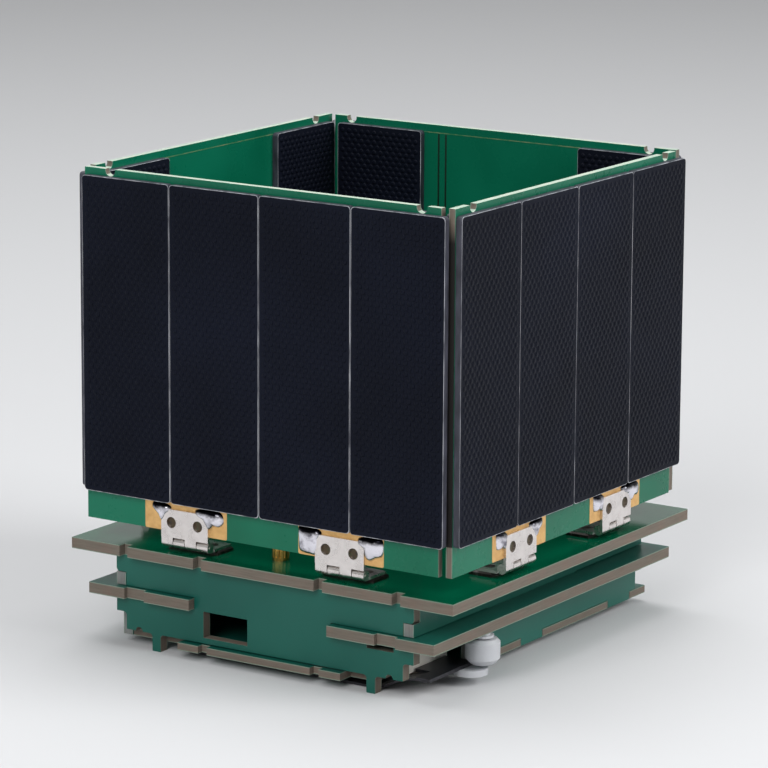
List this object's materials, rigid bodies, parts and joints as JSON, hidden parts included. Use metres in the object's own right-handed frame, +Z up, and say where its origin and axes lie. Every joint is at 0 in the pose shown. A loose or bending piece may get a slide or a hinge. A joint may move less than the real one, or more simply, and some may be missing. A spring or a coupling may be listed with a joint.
{
  "type": "picosatellite bus with hinged solar panels",
  "caption": "Pocket-size satellite bus: a low box of slotted circuit boards under a square deck, with hinged solar panels standing on it as an open box.",
  "frame": {"origin": "in plan the middle of the square deck, in height the tips of the wall lugs that it stands on", "axes": "+Z up out of the open panel box, -Y the front with the window, +X the right side"},
  "size_m": [0.064, 0.0641, 0.068],
  "materials": {
    "mask_teal": "circuit board with teal solder mask",
    "mask_green": "circuit board with saturated green solder mask",
    "module": "dark encapsulated solar module, matte relief",
    "hinge_metal": "nickel plated",
    "solder": "bright solder",
    "nylon": "white nylon",
    "battery": "wrapped cell",
    "spring_steel": "thin spring tape",
    "gold": "gold plated"
  },
  "bodies": {
    "bus": {"top_deck_board": "mask_green", "back_plate_board": "mask_teal", "bottom_board": "mask_teal", "wall_front": "mask_teal", "wall_back": "mask_teal", "wall_right": "mask_teal", "wall_left": "mask_teal", "battery_block": "battery", "spacer_post": "nylon", "post_foot": "nylon", "antenna_blade": "spring_steel", "antenna_clamp": "nylon", "deck_pins": "gold", "deck_hinge_leaves_front": "hinge_metal", "hinge_solder_front": "solder", "deck_hinge_leaves_right": "hinge_metal", "hinge_solder_right": "solder", "deck_hinge_leaves_back": "hinge_metal", "hinge_solder_back": "solder", "deck_hinge_leaves_left": "hinge_metal", "hinge_solder_left": "solder"},
    "front_panel": {"panel_board_front": "mask_green", "outer_modules_front": "module", "inner_modules_front": "module", "panel_hinge_leaves_front": "hinge_metal"},
    "right_panel": {"panel_board_right": "mask_green", "outer_modules_right": "module", "inner_modules_right": "module", "panel_hinge_leaves_right": "hinge_metal"},
    "back_panel": {"panel_board_back": "mask_green", "outer_modules_back": "module", "inner_modules_back": "module", "panel_hinge_leaves_back": "hinge_metal"},
    "left_panel": {"panel_board_left": "mask_green", "outer_modules_left": "module", "inner_modules_left": "module", "panel_hinge_leaves_left": "hinge_metal"}
  },
  "joints": [
    {"name": "front_panel_hinge", "type": "hinge", "parent": "bus", "child": "front_panel", "pos_m": [0, -0.03028, 0.01622], "axis": [1, 0, 0], "range_deg": [0, 90]},
    {"name": "right_panel_hinge", "type": "hinge", "parent": "bus", "child": "right_panel", "pos_m": [0.03028, 0, 0.01622], "axis": [0, 1, 0], "range_deg": [0, 90]},
    {"name": "back_panel_hinge", "type": "hinge", "parent": "bus", "child": "back_panel", "pos_m": [0, 0.03028, 0.01622], "axis": [-1, 0, 0], "range_deg": [0, 90]},
    {"name": "left_panel_hinge", "type": "hinge", "parent": "bus", "child": "left_panel", "pos_m": [-0.03028, 0, 0.01622], "axis": [0, -1, 0], "range_deg": [0, 90]}
  ]
}
